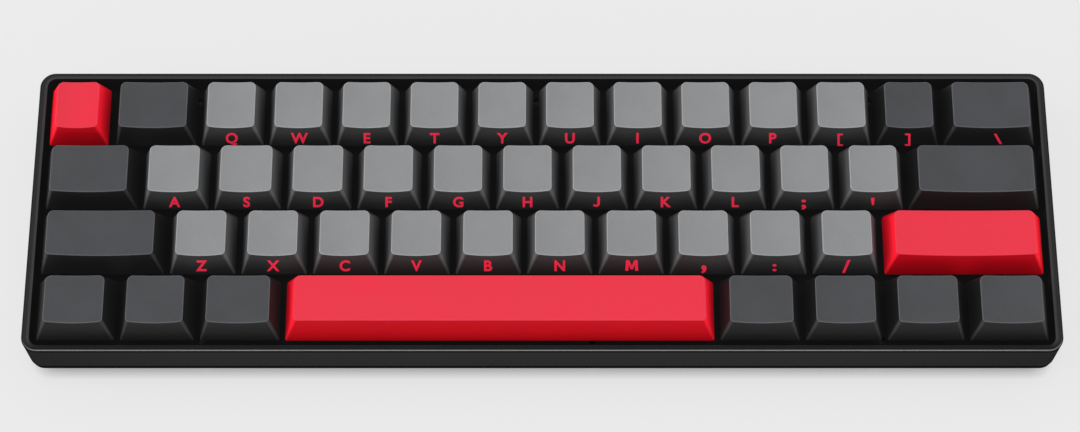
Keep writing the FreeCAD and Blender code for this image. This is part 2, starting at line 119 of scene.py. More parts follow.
# Painted light: glow that plastic and paint give off by themselves, so that shaded parts aren't pure black,
# and the glow of the painted light on the walls of the caps
BLACK_LIFT = 0.004
WALL_GLOW = {"light": 0.28, "red": 0.27}
BOSS_DIAMETER = 5.5 * MM
BOSS_CLEARANCE = 0.1 * MM
BOSS_SUNK = 0.2 * MM
CROSS_LENGTH = 4.0 * MM
CROSS_WIDTH = 1.25 * MM
CROSS_HEIGHT = 3.6 * MM
CROSS_FIT = 0.05 * MM
CROSS_SUNK = 0.1 * MM
BLOCK_CORNER = 0.4 * MM
BLOCK_BEVEL = 0.2 * MM
BLOCK_TOP_SCALE = 0.94
SLIDER_SIZE = (6.8 * MM, 5.6 * MM)
STEM_SIZE = (4.4 * MM, 3.2 * MM)
STEM_OFFSETS = {"enter": 11.94 * MM, "shift_left": 11.94 * MM, "shift_right": 11.94 * MM, "space": 50.0 * MM}

RED_KEYS = {"escape", "shift_right", "space"}
LETTERS = "qwetyuiopasdfghjklzxcvbnm"
# Marks with sizes of their own, in mm: sign, width, height, and shift right and up from a letter's place
MARKS = {
    "m": ("M", 3.55, 4.3, 0.1, 0.0),
    "j": ("J", 1.9, 4.3, -0.1, 0.0),
    "bracket_left": ("[", 1.5, 5.1, 0.0, -0.8),
    "bracket_right": ("]", 1.5, 5.1, 0.0, -0.75),
    "backslash": ("\\", 2.3, 4.2, 2.2, -0.4),
    "semicolon": (";", 1.3, 4.3, 0.0, -1.25),
    "quote": ("'", 1.0, 3.1, 0.0, 0.1),
    "comma": (",", 1.4, 3.3, 0.3, -1.6),
    "period": (":", 1.1, 2.9, 0.0, -0.9),
    "slash": ("/", 2.3, 5.2, 0.0, -0.4),
}
# Signs drawn by their corners, in shares of their width and height
DRAWN_SIGNS = {
    "J": ((1, 1), (0.64, 1), (0.64, 0.32), (0.56, 0.21), (0.42, 0.18), (0.28, 0.2), (0.14, 0.27), (0, 0.1),
          (0.2, 0.02), (0.45, -0.02), (0.72, 0.01), (0.92, 0.11), (1, 0.3)),
    "M": ((0, 0), (0.06, 1), (0.31, 1), (0.5, 0.44), (0.69, 1), (0.94, 1), (1, 0), (0.76, 0), (0.73, 0.58),
          (0.58, 0.14), (0.42, 0.14), (0.27, 0.58), (0.24, 0)),
    "[": ((0, 0), (1, 0), (1, 0.13), (0.42, 0.13), (0.42, 0.87), (1, 0.87), (1, 1), (0, 1)),
    "]": ((0, 0), (1, 0), (1, 1), (0, 1), (0, 0.87), (0.58, 0.87), (0.58, 0.13), (0, 0.13)),
    "\\": ((0, 1), (0.68, 0), (1, 0), (0.32, 1)),
    "/": ((0, 0), (0.34, 0), (1, 1), (0.66, 1)),
    "'": ((0.3, 0), (0.8, 0), (1, 1), (0, 1)),
}
LIGHT_KEYS = (set(LETTERS) | set(MARKS)) - {"bracket_right", "backslash"}

# Legends on the front faces of the caps
LEGEND_HEIGHT = 4.3 * MM
LEGEND_WIDTH_SCALE = 0.71
LEGEND_BOLDNESS = 0.03
LEGEND_MIDDLES = (3.45 * MM, 3.45 * MM, 3.8 * MM)
LEGEND_LEAN = 0.75
LEGEND_STAND = 0.02 * MM
LEGEND_HALF_DEPTH = 0.5
FONT_CAPITAL = 0.729

# Case
WALL = 1.8 * MM
BOARD_GAP = 0.4 * MM
CASE_CORNER = 4.2 * MM
CASE_CORNER_STEPS = 12
LEAST_BEND = 0.15 * MM
RIM_CHAMFER = 0.32 * MM
RIM_SOFTENING = 0.08 * MM
RIM_INNER_EDGE = 0.15 * MM
RIM_SIDE_GROWTH = 0.35 * MM
# Weights below 0 of the edge attribute: paint with less sheen, which paints it darker as painted shade, and
# paint turned black, which is painted shade
DULL = -0.1
DIM = -0.05
PAINTED_SHADE = -0.4
# Painted shade: how much the sheen of the wall fades towards its ends, and how far below the rim that sets in
SHADED_ENDS = 0.55
SHADED_END_DEPTHS = (0.7 * MM, 0.5 * MM)
LOWER_EDGE = (0.18 * MM, 1.0 * MM)
# Where the sheen and the painted shade change: above the seam, below the rim, and inwards from the chamfer
SHADE_BAND_HEIGHT = 1.9 * MM
WALL_STOPS = (1.2 * MM, 0.7 * MM)
RIM_STOPS = (0.18 * MM, 0.6 * MM, 0.75 * MM)
SEAM_GROOVE = (0.6 * MM, 0.35 * MM)
BASE_LAND = 1.05 * MM
BASE_STEP = 0.05 * MM
BASE_SOFTENING = 0.3 * MM
UNDERCUT = 3.0 * MM
FLOOR_THICKNESS = 1.6 * MM
WINDOW = (12.8 * MM, 7.0 * MM)
WINDOW_CORNER = 1.6 * MM
SCREW_RECESS_DIAMETER = 3.8 * MM
SCREW_SEAT_DEPTH = 3.0 * MM
SCREW_TIP_SETBACK = 1.5 * MM
SCREW_HEAD = (3.4 * MM, 1.3 * MM)
SCREW_SHANK_DIAMETER = 2.0 * MM
SCREW_DRIVE = 1.5 * MM
# A screw head's raised middle, in shares of its diameter and height, and the drive's share of its height
SCREW_CROWN = (0.8, 0.12)
SCREW_DRIVE_DEPTH = 0.5
FOOT_RECESS = 0.6 * MM
FOOT_FIT = 0.15 * MM
FOOT_CORNER = 1.8 * MM
FOOT_EDGE = 0.3 * MM
FOOT_SOLE_SCALE = 0.96

# Data socket
SOCKET_SHELL = 0.3 * MM
SOCKET_EDGE = 0.08 * MM
SOCKET_BACK = 1.5 * MM
SOCKET_FLAT = 0.15 * MM
TONGUE_HALVES = (3.35 * MM, 0.35 * MM)
TONGUE_SETBACKS = (1.0 * MM, 0.6 * MM)
TONGUE_CORNER = 0.4 * MM
CONTACT_COUNT = 12
CONTACT_PITCH = 0.5 * MM
CONTACT_HALF_WIDTH = 0.13 * MM
CONTACT_ENDS = (3.6 * MM, 0.9 * MM)
CONTACT_CORNER = 0.05 * MM
CONTACT_STAND = 0.04 * MM

# Stabiliser wires: the arm reaches this far across and up from the rod
WIRE_DIAMETER = 1.2 * MM
WIRE_TAIL = 2.8 * MM
WIRE_ARM = (8.98 * MM, 2.92 * MM)

# Camera, fitted to the key corners and case edges of the photograph
CAMERA_DISTANCE = 720.4 * MM
CAMERA_ELEVATION = 68.33
CAMERA_LENS = 87.42
CAMERA_SENSOR = 36.0
CAMERA_TARGET = (-0.6 * MM, -1.36 * MM)

# Floor and lights
BACKGROUND = 0.823
FLOOR_GLOW = 1.01
SHADOW_SHARE = 0.13
# Contact shadow: how far it reaches and how strong it is, close by and further out
CONTACT_SHADOWS = ((1.6 * MM, 2.2), (4.0 * MM, 0.85), (6.5 * MM, 0.08))
FLOOR_HALF_SIZE = 6.0
# Lights: place, what they face, width and depth, power, and whether the object mirrors them
LIGHTS = {
    "overhead": ((0, 0.3, 1.5), (0, 0, 0), (2.2, 1.6), 10.8, True),
    "left_box": ((-2.0, -0.15, 1.05), (0, 0, 0.02), (1.4, 1.4), 26.0, False),
    "right_box": ((1.3, -0.1, 0.75), (0, 0, 0.02), (0.9, 0.9), 4.0, True),
    "front_strip": ((0, -1.3, 0.52), (0, 0, 0.02), (2.0, 0.1), 2.2, True),
}
WORLD_LIGHT = 0.4
# The part of a noise's range that most of its values lie in
NOISE_RANGE = (0.3, 0.7)
# Painted light: how strongly the print glows in its own colour
LEGEND_GLOW = 0.4

RIM_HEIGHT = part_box("case_frame")[1][2]
BODY_OF = {node: body for body, nodes in frame["record"]["behaviour"]["bodies"].items() for node in nodes}
KEY_NAMES = [node[len("key_"):] for node in BODY_OF if node.startswith("key_")]


# Shader expressions

def arithmetic(operation, swapped=False):
    """A method of Sock that adds a Math node."""
    def method(self, other):
        first, second = (other, self) if swapped else (self, other)
        return self.tree.node("ShaderNodeMath", {0: first, 1: second}, operation=operation)
    return method


class Sock:
    """A shader socket on which arithmetic adds Math nodes."""

    def __init__(self, tree, socket):
        self.tree = tree
        self.socket = socket

    def beside(self, name):
        """Another output of the same node."""
        return Sock(self.tree, self.socket.node.outputs[name])

    __add__ = __radd__ = arithmetic("ADD")
    __mul__ = __rmul__ = arithmetic("MULTIPLY")
    __sub__ = arithmetic("SUBTRACT")
    __rsub__ = arithmetic("SUBTRACT", swapped=True)
    __pow__ = arithmetic("POWER")


class Tree:
    """Builds a node tree: one method adds any node, sets it and links its inputs."""

    def __init__(self, tree):
        self.tree = tree
        tree.nodes.clear()

    def node(self, kind, inputs=None, output=0, **settings):
        made = self.tree.nodes.new(kind)
        for name, value in settings.items():
            setattr(made, name, value)
        for name, value in (inputs or {}).items():
            for item in value if isinstance(value, list) else [value]:
                if isinstance(item, Sock):
                    self.tree.links.new(item.socket, made.inputs[name])
                else:
                    made.inputs[name].default_value = item
        return Sock(self, made.outputs[output]) if len(made.outputs) else None

    def mix(self, factor, first, second):
        """Colour between two colours."""
        return self.node("ShaderNodeMix", {0: factor, 6: first, 7: second}, output=2, data_type="RGBA")

    def place(self):
        """Place on the object, in its own axes."""
        return self.node("ShaderNodeTexCoord", output=3)

    def edge_weight(self):
        """The weight on the mesh, from Skin.ring, that places painted light, painted shade and sheen."""
        return self.node("ShaderNodeAttribute", output=2, attribute_name="edge")

    def noise(self, scale, detail, where=None):
        inputs = {"Vector": where or self.place(), "Scale": scale, "Detail": detail}
        return self.node("ShaderNodeTexNoise", inputs)

    def remap(self, value, low, high, new_low, new_high):
        inputs = {"Value": value, "From Min": low, "From Max": high, "To Min": new_low, "To Max": new_high}
        return self.node("ShaderNodeMapRange", inputs)

    def spread(self, noise, low, high):
        """Noise stretched to run between two values."""
        return self.remap(noise, *NOISE_RANGE, low, high)

    def bump(self, strength, depth, height):
        return self.node("ShaderNodeBump", {"Strength": strength, "Distance": depth, "Height": height})

    def surface(self, inputs):
        return self.node("ShaderNodeBsdfPrincipled", inputs)


def colour(screen):
    """Linear colour from screen values of 0 to 255."""
    parts = [value / 255 for value in screen]
    return (*[part / 12.92 if part <= 0.04045 else ((part + 0.055) / 1.055) ** 2.4 for part in parts], 1.0)


def shaded(base, factor):
    return (*[part * factor for part in base[:3]], 1.0)


def grey(value):
    return (value, value, value, 1.0)


def material(name, build):
    made = bpy.data.materials.new(name)
    made.use_nodes = True
    tree = Tree(made.node_tree)
    tree.node("ShaderNodeOutputMaterial", {"Surface": build(tree)})
    return made


def moulded_plastic(base, roughness, grain, grain_depth, mottle=0.06, edge=None, shine=0.3, lift=0.0,
                    glow=0.0):
    """Plastic from a textured mould: fine grain, faint mottling and slightly uneven gloss, with painted
    light: lighter where the edge weight lies, which can also glow.
    """
    base = colour(base)
    edge = edge and colour(edge)

    def build(tree):
        cloud = tree.noise(90.0, 3.0)
        speck = tree.noise(grain, 2.0)
        tone = tree.remap(cloud * 0.6 + speck * 0.4, 0.35, 0.65, 0.0, 1.0)
        base_colour = tree.mix(tone, shaded(base, 1 - mottle), shaded(base, 1 + mottle))
        painted_glow_colour = grey(1.0)
        if edge:
            # Painted light: the edge weight lightens the colour towards the edge colour
            painted_light = tree.edge_weight()
            base_colour = tree.mix(painted_light, base_colour, edge)
        # Painted light: where the edge weight lies, the plastic glows in the edge colour, elsewhere by the
        # lift
        if glow:
            painted_glow_colour = tree.mix(painted_light, grey(lift / glow), edge)
        gloss = tree.spread(cloud, roughness - 0.05, roughness + 0.05)
        bump = tree.bump(0.35, grain_depth, speck)
        return tree.surface({
            "Base Color": base_colour, "Roughness": gloss, "Normal": bump, "Specular IOR Level": shine,
            "Emission Color": painted_glow_colour, "Emission Strength": glow or lift})
    return build


def cap_plastic(base, edge, roughness=0.5, mottle=0.06, shine=0.3, lift=0.0, glow=0.0):
    """The plastic of the keycaps: its own colour, and a lighter colour for the painted light and painted
    highlights on its edges and walls.
    """
    return moulded_plastic(base, roughness, 2600.0, 0.02 * MM, mottle, edge, shine, lift, glow)


def lettering(ink):
    """Bright print, which shines a little of its own colour because the fronts of the caps lie in shade."""
    ink = colour(ink)

    def build(tree):
        speck = tree.noise(3000.0, 2.0)
        base_colour = tree.mix(speck, shaded(ink, 0.96), shaded(ink, 1.04))
        return tree.surface({
            "Base Color": base_colour, "Roughness": tree.spread(speck, 0.5, 0.6),
            "Normal": tree.bump(0.2, 0.005 * MM, speck),
            "Emission Color": base_colour, "Emission Strength": LEGEND_GLOW})
    return build


def painted_metal(base, roughness, grain, grain_depth, sheen, edge_sheen=0.0):
    """Satin paint over metal, with a fine orange peel. The edge weight paints highlights by more sheen and
    painted shade by less sheen or black paint; the sheen fades towards the ends of the case as painted shade,
    and the paint glows a little so that shade isn't pure black.
    """
    base = colour(base)

    def build(tree):
        cloud = tree.noise(45.0, 3.0)
        edge = tree.edge_weight()
        # Painted shade: black paint where the edge weight falls to the painted shade weight
        shade_mask = tree.remap(edge, PAINTED_SHADE, DULL, 1.0, 0.0)
        base_colour = tree.mix(shade_mask, tree.mix(cloud, shaded(base, 0.88), shaded(base, 1.12)), grey(0.0))
        gloss = tree.spread(cloud, roughness - 0.03, roughness + 0.04)
        bump = tree.bump(0.25, grain_depth, tree.noise(grain, 1.0))
        # Painted light: the paint glows a little so that shaded parts aren't pure black
        paint = tree.surface({
            "Base Color": base_colour, "Roughness": gloss, "Normal": bump, "Specular IOR Level": 0.0,
            "Emission Color": grey(1.0), "Emission Strength": BLACK_LIFT})
        shine = tree.surface({"Base Color": grey(0.9), "Metallic": 1.0, "Roughness": gloss, "Normal": bump})
        # Painted shade: the sheen of the wall fades towards the ends of the case, below the rim
        across = tree.node("ShaderNodeSeparateXYZ", {"Vector": tree.place()})
        levels = [RIM_HEIGHT - depth for depth in SHADED_END_DEPTHS]
        below_rim = tree.remap(across.beside("Z"), *levels, 1.0, 0.0)
        ends = (across * across * (1 / cad_box[1][0] ** 2)) ** 2 * below_rim
        # More sheen where the edge weight is high paints highlights, less sheen paints shade
        share = edge * edge_sheen + sheen * (1 - ends * SHADED_ENDS)
        return tree.node("ShaderNodeMixShader", {0: share, 1: paint, 2: shine})
    return build


def plain_metal(base, roughness):
    """Bare metal with fine lengthwise scratches."""
    def build(tree):
        stretched = tree.node("ShaderNodeMapping", {"Vector": tree.place(), "Scale": (0.05, 1.0, 1.0)})
        scratch = tree.noise(900.0, 4.0, stretched)
        return tree.surface({
            "Base Color": tree.mix(scratch, shaded(base, 0.85), shaded(base, 1.1)), "Metallic": 1.0,
            "Roughness": tree.spread(scratch, roughness - 0.08, roughness + 0.1)})
    return build


def circuit_lacquer(base, copper):
    """Solder lacquer over copper tracks that run in narrow lanes."""
    def build(tree):
        lanes = tree.node(
            "ShaderNodeTexWave",
            {"Vector": tree.place(), "Scale": 120.0, "Distortion": 1.5, "Detail": 1.0, "Detail Scale": 0.4},
            output=1, wave_type="BANDS", bands_direction="Y")
        track = tree.remap(lanes, 0.72, 0.8, 0.0, 1.0)
        return tree.surface({
            "Base Color": tree.mix(track, colour(base), colour(copper)), "Roughness": 0.3,
            "Normal": tree.bump(0.3, 0.03 * MM, track)})
    return build


def make_materials():
    """Every finish; plastics, paints and lacquer by the screen's values, bare metals by what they reflect."""
    looks = {
        # The second colour of each cap plastic is the colour of its painted light: painted highlights along
        # the top edges and painted light on the walls and front corner ridges
        "light_top": ("cap_light_grey", cap_plastic((138, 139, 141), (168, 169, 171))),
        "slate_top": ("cap_slate", cap_plastic((67, 68, 71), (98, 99, 103), mottle=0.13)),
        "red_top": ("cap_red", cap_plastic((232, 42, 64), (240, 58, 78), mottle=0.03)),
        "light_skirt": ("skirt_grey", cap_plastic(
            (30, 30, 30), (112, 112, 113), 0.55, lift=BLACK_LIFT, glow=WALL_GLOW["light"])),
        "slate_skirt": ("skirt_black", cap_plastic((16, 16, 17), (96, 96, 97), 0.55, lift=BLACK_LIFT)),
        # The red skirt is a darker copy of the red of the tops, as painted shade on the walls of the red
        # caps, with painted light from its edge colour and glow
        "red_skirt": ("skirt_red", cap_plastic(
            (200, 11, 26), (255, 30, 50), mottle=0.03, shine=0.06, glow=WALL_GLOW["red"])),
        "legend": ("legend_red", lettering((240, 44, 74))),
        "case": ("case_black", painted_metal((25, 25, 26), 0.3, 1500.0, 0.012 * MM, 0.028, 0.26)),
        "plate": ("plate_black", painted_metal((12, 12, 13), 0.55, 1800.0, 0.03 * MM, 0.003)),
        "housing": ("switch_black", moulded_plastic((12, 12, 13), 0.5, 1800.0, 0.02 * MM, lift=BLACK_LIFT)),
        "slider": ("slider_red", moulded_plastic((170, 25, 30), 0.35, 1800.0, 0.01 * MM, 0.03)),
        "rubber": ("foot_rubber", moulded_plastic((26, 26, 26), 0.8, 1500.0, 0.05 * MM)),
        "steel": ("steel", plain_metal((0.55, 0.55, 0.56), 0.3)),
        "black_screw": ("screw_black", plain_metal((0.03, 0.03, 0.032), 0.4)),
        "gold": ("contact_gold", plain_metal((0.83, 0.6, 0.25), 0.3)),
        "board": ("board_lacquer", circuit_lacquer((18, 42, 28), (34, 66, 40))),
        "tongue": ("socket_tongue", moulded_plastic((22, 22, 23), 0.4, 1500.0, 0.01 * MM)),
    }
    return {finish: material(name, build) for finish, (name, build) in looks.items()}


# Mesh building

class Skin:
    """Collects points and faces of one mesh, ring by ring."""

    def __init__(self):
        self.points = []
        self.edges = []
        self.faces = []
        self.slots = []

    def ring(self, points, edge=0.0):
        """Adds a ring; edge is the weight of painted light, painted shade and sheen that the finishes read,
        for all its points or one for each.
        """
        start = len(self.points)
        self.points += points
        self.edges += edge if isinstance(edge, list) else [edge] * len(points)
        return list(range(start, start + len(points)))

    def face(self, corners, slot=0):
        self.faces.append(corners)
        self.slots.append(slot)

    def bridge(self, first, second, slot=0):
        for a, b, c, d in zip(first, first[1:] + first[:1], second[1:] + second[:1], second):
            self.face((a, b, c, d), slot)

    def tube(self, rings):
        """Bridges one ring to the next and closes both ends."""
        for first, second in zip(rings, rings[1:]):
            self.bridge(first, second)
        self.face(tuple(reversed(rings[0])))
        self.face(tuple(rings[-1]))

    def fan(self, ring, point, slot=0):
        centre = self.ring([point])[0]
        for a, b in zip(ring, ring[1:] + ring[:1]):
            self.face((a, b, centre), slot)

    def mesh(self, name):
        made = bpy.data.meshes.new(name)
        made.from_pydata(self.points, [], self.faces)
        made.polygons.foreach_set("material_index", self.slots)
        made.attributes.new("edge", "FLOAT", "POINT").data.foreach_set("value", self.edges)
        made.validate()
        return made


def rounded_ring(left, right, front, back, radius, x_steps=1, y_steps=1, corner_steps=CORNER_STEPS,
                 front_radius=None):
    """Points of a rectangle with round corners, anticlockwise seen from above."""
    near = radius if front_radius is None else front_radius
    corners = [(right - radius, back - radius, radius), (left + radius, back - radius, radius),
               (left + near, front + near, near), (right - near, front + near, near)]
    bends = [arc_points(*corner, 90 * turn, 90 * turn + 90, corner_steps)
             for turn, corner in enumerate(corners)]
    points = []
    for turn, bend in enumerate(bends):
        steps = (x_steps, y_steps)[turn % 2]
        ends = list(zip(bend[-1], bends[(turn + 1) % 4][0]))
        points += bend
        points += [tuple(a + (b - a) * (step / steps) for a, b in ends) for step in range(1, steps)]
    return points


def arc_points(cx, cy, radius, start, end, steps):
    angles = [math.radians(start + (end - start) * step / steps) for step in range(steps + 1)]
    return [(cx + radius * math.cos(angle), cy + radius * math.sin(angle)) for angle in angles]


def smooth(mesh, angle):
    mesh.polygons.foreach_set("use_smooth", [True] * len(mesh.polygons))
    mesh.set_sharp_from_angle(angle=math.radians(angle))
    mesh.update()


def outward(mesh):
    work = bmesh.new()
    work.from_mesh(mesh)
    bmesh.ops.remove_doubles(work, verts=work.verts, dist=1e-7)
    bmesh.ops.recalc_face_normals(work, faces=work.faces)
    work.to_mesh(mesh)
    work.free()


def in_scene(name, data):
    """New object that shows some data in the scene."""
    made = bpy.data.objects.new(name, data)
    bpy.context.collection.objects.link(made)
    return made


def flattened(holder):
    """Plain mesh of an object with its modifiers applied; the object itself goes."""
    mesh = bpy.data.meshes.new_from_object(holder.evaluated_get(bpy.context.evaluated_depsgraph_get()))
    bpy.data.objects.remove(holder)
    return mesh


def add_piece(name, mesh, body, materials, nodes):
    """Puts a finished mesh in the scene and fastens it to its body, in place of the nodes."""
    made = in_scene(name, mesh)
    for item in materials:
        mesh.materials.append(item)
    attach(made, body)
    if nodes:
        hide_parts(*nodes)
    return made


def boolean(mesh, cutters):
    """New mesh: the first one cut by the others."""
    target = in_scene("target", mesh)
    helpers = [in_scene("cutter", cutter) for cutter in cutters]
    for helper in helpers:
        modifier = target.modifiers.new("cut", "BOOLEAN")
        modifier.operation = "DIFFERENCE"
        modifier.solver = "EXACT"
        modifier.object = helper
    result = flattened(target)
    for helper in helpers:
        bpy.data.objects.remove(helper)
    return result


def weighted_normals(piece):
    modifier = piece.modifiers.new("even_faces", "WEIGHTED_NORMAL")
    modifier.keep_sharp = True
    modifier.weight = 80


def prism(ring, z0, z1):
    skin = Skin()
    skin.tube([skin.ring([(x, y, z) for x, y in ring]) for z in (z0, z1)])
    return skin.mesh("prism")


def circle(x, y, diameter):
    return arc_points(x, y, diameter / 2, 0, 360 - 360 / CIRCLE_STEPS, CIRCLE_STEPS - 1)


def joined(meshes, name, slots=None):
    """One mesh from several; each keeps its own material slot, or takes the one given for it."""
    work = bmesh.new()
    for index, mesh in enumerate(meshes):
        before = len(work.faces)
        work.from_mesh(mesh)
        work.faces.ensure_lookup_table()
        if slots:
            for face in work.faces[before:]:
                face.material_index = slots[index]
    made = bpy.data.meshes.new(name)
    work.to_mesh(made)
    work.free()
    return made


def moved(mesh, x, y):
    copy = mesh.copy()
    copy.transform(Matrix.Translation((x, y, 0)))
    return copy


# Keycaps

class Cap:
    """The sizes of one keycap, read from its node's box."""

    def __init__(self, name):
        low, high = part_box(f"key_{name}")
        self.name = name
        self.left, self.front, _ = low
        self.right, self.back, self.top = high
        self.bottom = self.top - CAP_HEIGHT
        self.x = (self.left + self.right) / 2
        self.y = (self.front + self.back) / 2
        self.finish = "red" if name in RED_KEYS else "light" if name in LIGHT_KEYS else "slate"
        self.row = round((1.5 * KEY_PITCH - self.y) / KEY_PITCH)
        side_taper = CAP_SIDE_TAPERS[self.row] + (WIDE_RED_TAPER if name in ("space", "shift_right") else 0)
        trims = [trim * MM for trim in CAP_TRIMS.get(name, (0, 0, 0, 0))]
        self.front_taper = SPACE_FRONT_TAPER if name == "space" else CAP_FRONT_TAPERS[self.row]
        self.back_taper = CAP_BACK_TAPERS[self.row]
        self.low_insets = (CAP_SIDE_SETBACK + trims[0], CAP_SIDE_SETBACK + trims[1], 0, CAP_BACK_SETBACK)
        self.high_insets = (side_taper + trims[2], side_taper + trims[3], self.front_taper, self.back_taper)
        self.top_x = self.x + (self.high_insets[0] - self.high_insets[1]) / 2
        self.half_top = (self.right - self.left - self.high_insets[0] - self.high_insets[1]) / 2
        self.x_steps = max(CAP_DEPTH_STEPS, round((self.right - self.left) / CAP_STEP))
        self.y_steps = CAP_DEPTH_STEPS

    def surface(self, x, y):
        """Height of the top face."""
        if self.name == "space":
            depth = (self.back - self.front) / 2 - self.front_taper
            return self.top - SPACE_CROWN * min(1, abs(y - self.y) / depth) ** 2
        share = min(1, abs(x - self.top_x) / self.half_top)
        return self.top - CAP_DISH * (1 - share * share)

    def outline(self, share, inset, room=0.0):
        """Outline at a share of the height, drawn in by an inset, but never nearer the middle than room."""
        halves = [(self.right - self.left) / 2] * 2 + [(self.back - self.front) / 2] * 2
        left, right, front, back = [min(low + (high - low) * share + inset, half - room)
                                    for low, high, half in zip(self.low_insets, self.high_insets, halves)]
        corners = [low + (high - low) * share for low, high in zip(CAP_LOW_CORNERS, CAP_TOP_CORNERS)]
        front_corner, back_corner = [max(LEAST_CORNER, corner - inset) for corner in corners]
        return rounded_ring(self.left + left, self.right - right, self.front + front, self.back - back,
                            back_corner, self.x_steps, self.y_steps, front_radius=front_corner)

    def wall_ring(self, share, inset=0.0, drop=0.0):
        """Ring on the sloping wall, whose height follows the dished top more the higher it lies."""
        points = []
        for x, y in self.outline(share, inset):
            sag = (self.top - self.surface(x, y)) * share
            z = self.bottom + share * CAP_HEIGHT - sag - drop
            lowered = sag / CAP_HEIGHT
            y += lowered * (self.back_taper - CAP_BACK_SETBACK if y > self.y else -self.front_taper)
            points.append((x, y, z))
        return points

    def top_ring(self, inset, scale):
        """Ring on the top face, at a share of its size."""
        points = [(self.top_x + (x - self.top_x) * scale, self.y + (y - self.y) * scale)
                  for x, y in self.outline(1, inset)]
        return [(x, y, self.surface(x, y)) for x, y in points]


def wall_weights(cap, share):
    """How much painted light each point of a wall ring gets: the side walls more towards the top and the
    back, and painted highlights on the front corner ridges.
    """
    side, front, ridge = PAINTED_WALL_LIGHT[cap.finish]
    if cap.finish == "red":
        foot, gain = RED_RISE
        rise = min(1, foot + gain * share)
    else:
        start, reach, power = GREY_RISE
        rise = min(1, max(0, share - start) / reach) ** power
    depths = [step / cap.y_steps for step in range(cap.y_steps + 1)]
    sides = [side * (rise + (max(rise, share ** 0.5) - rise) * (1 - depth) ** 3) for depth in depths]
    front, ridge = front * rise, ridge * min(1, RIDGE_FOOT + share)
    turns = [step / CORNER_STEPS for step in range(CORNER_STEPS + 1)]
    back_left = [sides[0] * turn ** 2 for turn in turns]
    front_left = [ridge * math.sin(math.pi * turn) + sides[-1] + (front - sides[-1]) * turn for turn in turns]
    return (back_left[::-1] + [0.0] * (cap.x_steps - 1) + back_left + sides[1:-1]
            + front_left + [front] * (cap.x_steps - 1) + front_left[::-1] + sides[-2:0:-1])


def cap_mesh(cap):
    """Cap with a coloured top, sloping walls, a hollow inside and a lip below."""
    skin = Skin()
    slope = math.atan2(cap.high_insets[0] - cap.low_insets[0], CAP_HEIGHT)
    reach = CAP_EDGE * math.tan((math.pi / 2 - slope) / 2)
    lip_inner = skin.ring([(x, y, cap.bottom) for x, y in cap.outline(0, CAP_WALL, HOLLOW_ROOM[0])])
    previous = skin.ring([(x, y, cap.bottom) for x, y in cap.outline(0, CAP_LIP)])
    skin.bridge(lip_inner, previous)
    rings = [(cap.wall_ring(share), wall_weights(cap, share), 0) for share in WALL_LEVELS]
    for step in range(EDGE_STEPS + 1):
        u = step / EDGE_STEPS
        drop = (1 - u) ** 2 * reach * math.cos(slope)
        shift = u * u * reach - (1 - u) ** 2 * reach * math.sin(slope)
        # Painted highlight along the rounded top edge, strongest halfway round it; its first ring keeps the
        # painted light of the wall
        weights = math.sin(math.pi * u) if step else wall_weights(cap, 1)
        rings.append((cap.wall_ring(1, shift, drop), weights, min(step, 1)))
    rings += [(cap.top_ring(reach, scale), 0.0, 1) for scale in TOP_SCALES]
    for points, weights, slot in rings:
        ring = skin.ring(points, weights)
        skin.bridge(previous, ring, slot)
        previous = ring
    skin.fan(previous, (cap.top_x, cap.y, cap.surface(cap.top_x, cap.y)), 1)
    level = cap.top - CAP_TOP_THICKNESS
    ceiling_plan = cap.outline(1 - CAP_TOP_THICKNESS / CAP_HEIGHT, CAP_WALL, HOLLOW_ROOM[1])
    ceiling = skin.ring([(x, y, level) for x, y in ceiling_plan])
    skin.bridge(ceiling, lip_inner)
    skin.face(tuple(reversed(ceiling)))
    mesh = skin.mesh(f"cap_{cap.name}")
    outward(mesh)
    smooth(mesh, CAP_SMOOTHING)
    return mesh


def cross_ring(length, width):
    a, b = length / 2, width / 2
    ring = [(a, -b), (a, b), (b, b)]
    for _ in range(9):
        x, y = ring[-3]
        ring.append((-y, x))
    return ring


def boss_mesh(low, high, socket_top):
    """Round boss with the cross-shaped socket for a stem."""
    ring = cross_ring(CROSS_LENGTH + 2 * CROSS_FIT, CROSS_WIDTH + 2 * CROSS_FIT)
    return boolean(prism(circle(0, 0, BOSS_DIAMETER), low, high), [prism(ring, low - OVERSHOOT, socket_top)])


def stem_mesh(size, low, high):
    """Sliding block with a rounded edge and the cross on top."""
    width, depth = size
    ring = rounded_ring(-width / 2, width / 2, -depth / 2, depth / 2, BLOCK_CORNER, corner_steps=3)
    levels = ((1, low), (1, high - BLOCK_BEVEL), (BLOCK_TOP_SCALE, high))
    skin = Skin()
    skin.tube([skin.ring([(x * scale, y * scale, z) for x, y in ring]) for scale, z in levels])
    cross = prism(cross_ring(CROSS_LENGTH, CROSS_WIDTH), high - CROSS_SUNK, high + CROSS_HEIGHT)
    return joined([skin.mesh("block"), cross], "stem")


